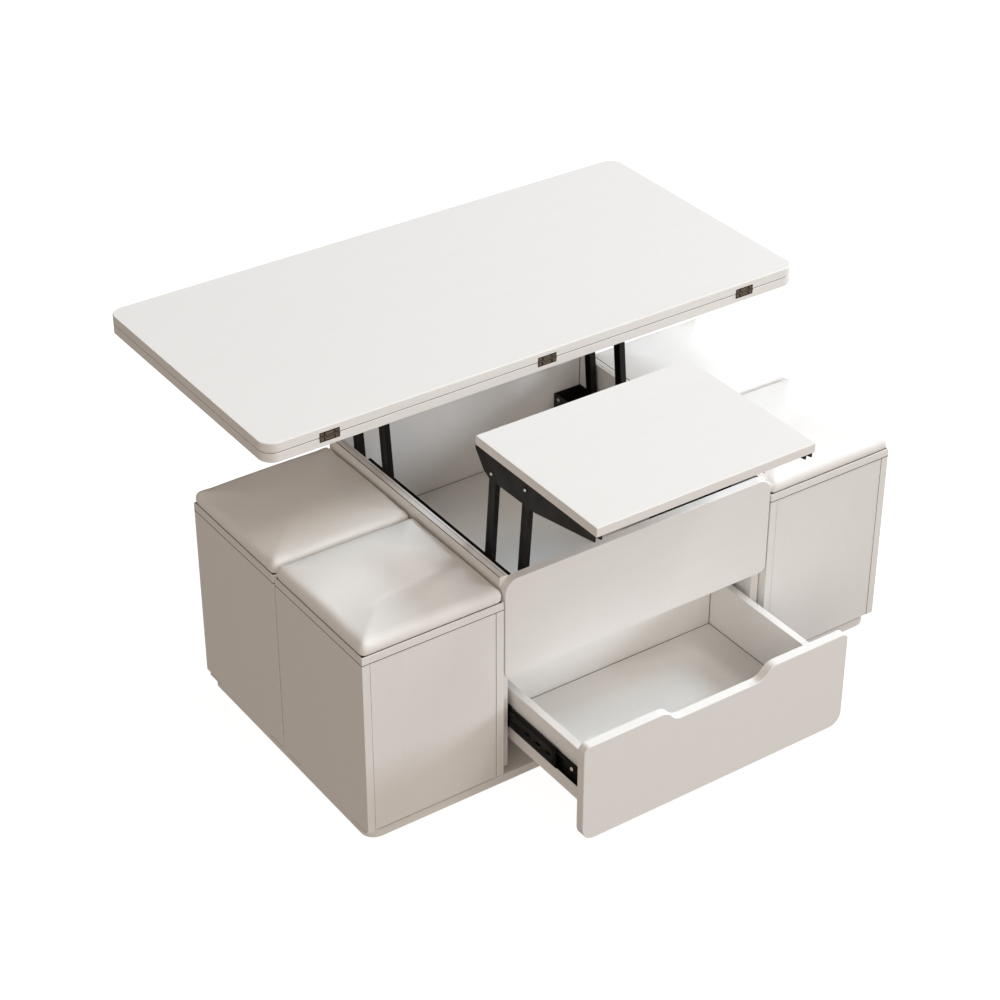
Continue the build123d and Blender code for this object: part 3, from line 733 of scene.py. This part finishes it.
rails = bmesh.new()
rail = makeMiddleRail(*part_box("slide_middle_members"))
addCopy(rails, rail, (0, 0, 0))
bmesh.ops.scale(rail, vec=(-1, 1, 1), verts=rail.verts)
bmesh.ops.reverse_faces(rail, faces=rail.faces)
addCopy(rails, rail, (0, 0, 0))
rail.free()
railPiece = finishPiece(rails, "slide_middle_rails", [slideCoat], "slide_middle",
                        ["slide_middle_members"])
replaceMesh(railPiece, "SOLIDIFY", thickness=drawerSlide["wall"] * mm, offset=-1.0, use_even_offset=True)
print("slides made")

# Narrow gaps where boards meet, drawn as thin dark brown strips: painted shade that stands in for the shade
# inside each gap, in the colour of the raw board edge that shows there
jointShadeLine = {
    "width": 1.5,
    "seatWidth": 1.0,
    "seatSink": 2.4,
    "proud": 0.12,
    "round": 0.05,
    "seamSink": 0.8,
    "seamWidth": 1.2,
    "seamCorner": 28.0,
    "seamThickness": 0.7,
}


def finishShadeLines(bm, name, body):
    bmesh.ops.bevel(bm, geom=bm.edges[:], offset=jointShadeLine["round"] * mm, offset_type="OFFSET", segments=1,
                    profile=0.5, affect="EDGES", material=-1)
    return finishPiece(bm, name, [rawEdgeGapShade], body)


# A painted shade line along the foot of a wall, on a floor board: from one place to the other
def floorShadeLine(bm, low, high, height, inwardX, inwardY):
    wide, proud = jointShadeLine["width"] * mm, jointShadeLine["proud"] * mm
    addStrip(bm, (min(low.x, low.x + inwardX * wide), min(low.y, low.y + inwardY * wide), height - proud),
             (max(high.x, high.x + inwardX * wide), max(high.y, high.y + inwardY * wide), height + proud))


# The painted shade lines of a box: along the foot of its back and sides, and up its back corners
def makeBoxShadeLines(name, body, inner, outer, height, top):
    bm = bmesh.new()
    wide, proud = jointShadeLine["width"] * mm, jointShadeLine["proud"] * mm
    floorShadeLine(bm, Vector((inner.x, outer.y, 0)), Vector((outer.x, outer.y, 0)), height, 0, -1)
    for x, inward in ((inner.x, 1), (outer.x, -1)):
        floorShadeLine(bm, Vector((x, inner.y, 0)), Vector((x, outer.y, 0)), height, inward, 0)
        left, right = sorted((x, x + inward * wide))
        addStrip(bm, (left, outer.y - proud, height), (right, outer.y + proud, top))
    return finishShadeLines(bm, name, body)


drawerSide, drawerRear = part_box("drawer_side_right"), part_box("drawer_back")
makeBoxShadeLines("drawer_joint_lines", "drawer", Vector((-drawerSide[0].x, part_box("drawer_front")[1].y, 0)),
             Vector((drawerSide[0].x, drawerRear[0].y, 0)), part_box("drawer_bottom")[1].z, drawerRear[1].z)
panelSide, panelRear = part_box("side_panel_right"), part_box("back_panel")

# Two thin lines of painted shade along the top of each side panel: where its edging begins, and beside the
# housing
panelShadeLines = ({"place": 0.3, "width": 1.5}, {"place": 12.0, "width": 0.525})
edgeShadeLines = bmesh.new()
for side in (-1, 1):
    for line in panelShadeLines:
        left, right = sorted(side * (panelSide[1].x - place * mm)
                             for place in (line["place"], line["place"] + line["width"]))
        addStrip(edgeShadeLines, (left, panelSide[0].y + mm, panelSide[1].z - mm),
                 (right, panelSide[1].y - mm, panelSide[1].z + jointShadeLine["proud"] * mm))
finishShadeLines(edgeShadeLines, "panel_edge_shade_lines", "root")
makeBoxShadeLines("storage_joint_lines", "root", Vector((-panelSide[0].x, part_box("upper_front_panel")[1].y, 0)),
             Vector((panelSide[0].x, panelRear[0].y, 0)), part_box("interior_floor")[1].z, panelRear[1].z)


# Painted shade lines on a stool: under the top board all round, under the cushion, and beside both face
# panels
def makeStoolShadeLines(stool):
    bm = bmesh.new()
    top, sides, faces = (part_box(stool + part) for part in ("_top_board", "_side_boards", "_face_panels"))
    half, proud = jointShadeLine["width"] / 2 * mm, jointShadeLine["proud"] * mm
    sink = jointShadeLine["seatSink"] * mm
    for y in (faces[0].y, faces[1].y):
        for x in (faces[0].x, faces[1].x):
            addStrip(bm, (x - half, y - proud, sides[0].z), (x + half, y + proud, sides[1].z))
        addStrip(bm, (faces[0].x, y - proud, top[0].z - 2 * half), (faces[1].x, y + proud, top[0].z))
    addStrip(bm, (top[0].x - proud, top[0].y - proud, top[0].z - half),
             (top[1].x + proud, top[1].y + proud, top[0].z + half))
    seat = jointShadeLine["seatWidth"] / 2 * mm
    addStrip(bm, (top[0].x + sink, top[0].y + sink, top[1].z - seat),
             (top[1].x - sink, top[1].y - sink, top[1].z + seat))
    return finishShadeLines(bm, stool + "_joint_lines", stool)


for stool in stools:
    makeStoolShadeLines(stool)

# The seam between the main top and its leaf, as a dark band of painted shade that goes round just inside the
# edge
seam = bmesh.new()
low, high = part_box("main_lower_leaf")
sink = jointShadeLine["seamSink"] * mm
addStrip(seam, (low.x + sink, low.y + sink, high.z - jointShadeLine["proud"] * mm),
         (high.x - sink, high.y - sink, high.z + jointShadeLine["seamThickness"] * mm))
corners = [edge for edge in seam.edges if abs(edge.verts[0].co.z - edge.verts[1].co.z) > 0.1 * mm]
bmesh.ops.bevel(seam, geom=corners, offset=jointShadeLine["seamCorner"] * mm - sink, offset_type="OFFSET",
                segments=10, profile=0.5, affect="EDGES", material=-1)
caps = [face for face in seam.faces
        if all(abs(vert.co.z - face.verts[0].co.z) < 1e-6 for vert in face.verts)]
bmesh.ops.delete(seam, geom=caps, context="FACES")
seamPiece = finishPiece(seam, "leaf_seam_shade_lines", [rawEdgeGapShade], "main_top")
replaceMesh(seamPiece, "SOLIDIFY", thickness=jointShadeLine["seamWidth"] * mm, offset=-1.0)
print("joint lines made")

# Leaf hinges: cast halves with three fields parted by darker grooves, a dark outline, and knuckles
# between the leaves
leafHinge = {
    "rows": (-470.0, 0.0, 470.0),
    "width": 42.0,
    "knuckles": 3,
    "knuckleRadius": 2.0,
    "knuckleGap": 0.35,
    "relief": 3.0,
    "grooveShare": 0.25,
    "grooveWidth": 2.6,
    "grooveDepth": 0.7,
    "grooveSlope": 0.3,
    "outline": 2.1,
}


def makeHingeHalf(name, body, kneesAt, isUpper):
    low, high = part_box(name)
    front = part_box("main_lower_leaf")[0].y
    hinge = pivots["leaf_hinge"]
    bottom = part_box("main_upper_leaf")[0].z if isUpper else low.z
    top = high.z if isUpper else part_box("main_lower_leaf")[1].z
    size = Vector((leafHinge["width"] * mm, high.y - front, top - bottom))
    pitch = leafHinge["width"] / leafHinge["knuckles"]
    grooveX = leafHinge["width"] * leafHinge["grooveShare"]
    hinges = bmesh.new()
    plate = bmesh.new()
    bmesh.ops.create_cube(plate, size=1.0)
    bmesh.ops.scale(plate, vec=size, verts=plate.verts)
    bmesh.ops.translate(plate, vec=(0, front + size.y / 2, (bottom + top) / 2), verts=plate.verts)
    meeting = bottom if isUpper else top
    cuts = [side * (grooveX + end * leafHinge["grooveWidth"] / 2) for side in (-1, 1) for end in (-1, 1)]
    cuts += [side * pitch / 2 for side in (-1, 1)]
    outline = leafHinge["outline"] * mm
    outer = top - outline if isUpper else bottom + outline
    inner = leafHinge["width"] / 2 * mm - outline
    for cut in cuts + [end * inner / mm for end in (-1, 1)]:
        cutAt(plate, 0, cut * mm)
    cutAt(plate, 2, outer)
    reliefs = [edge for edge in plate.edges
               if all(abs(vert.co.z - meeting) < 1e-6 and vert.co.y < front + 1e-6 for vert in edge.verts)
               and (abs((edge.verts[0].co.x + edge.verts[1].co.x) / 2 / mm) < pitch / 2) != isUpper]
    bmesh.ops.bevel(plate, geom=reliefs, offset=leafHinge["relief"] * mm, offset_type="OFFSET", segments=1,
                    profile=0.5, affect="EDGES", material=-1)
    grooves = [face for face in plate.faces if face.calc_center_median().y < front + 1e-6
               and abs(abs(face.calc_center_median().x / mm) - grooveX) < leafHinge["grooveWidth"] / 2]
    inset = bmesh.ops.inset_region(plate, faces=grooves, thickness=leafHinge["grooveSlope"] * mm,
                                   depth=-leafHinge["grooveDepth"] * mm, use_even_offset=True)
    for face in plate.faces:
        middle = face.calc_center_median()
        if face in grooves or abs(middle.x) > inner or (middle.z > outer) == isUpper:
            face.material_index = 1
    for face in inset["faces"]:
        face.material_index = 1
    for row in leafHinge["rows"]:
        addCopy(hinges, plate, (row * mm, 0, 0))
        for knee in kneesAt:
            bar = bmesh.new()
            length = (pitch - leafHinge["knuckleGap"]) * mm
            bmesh.ops.create_cone(bar, cap_ends=True, segments=28, radius1=leafHinge["knuckleRadius"] * mm,
                                  radius2=leafHinge["knuckleRadius"] * mm, depth=length)
            for face in bar.faces:
                face.material_index = 2
            start = row - leafHinge["width"] / 2 + knee * pitch
            addCopy(hinges, bar, (start * mm + length / 2, hinge.y, hinge.z), (1, 0, 0))
            bar.free()
    plate.free()
    finishPiece(hinges, name + "_cast", [bronzeZinc, darkBronze, shadedBronze], body, [name])


makeHingeHalf("leaf_hinge_lower_halves", "main_top", (0, 2), False)
makeHingeHalf("leaf_hinge_upper_halves", "upper_leaf", (1,), True)
print("hinges made")
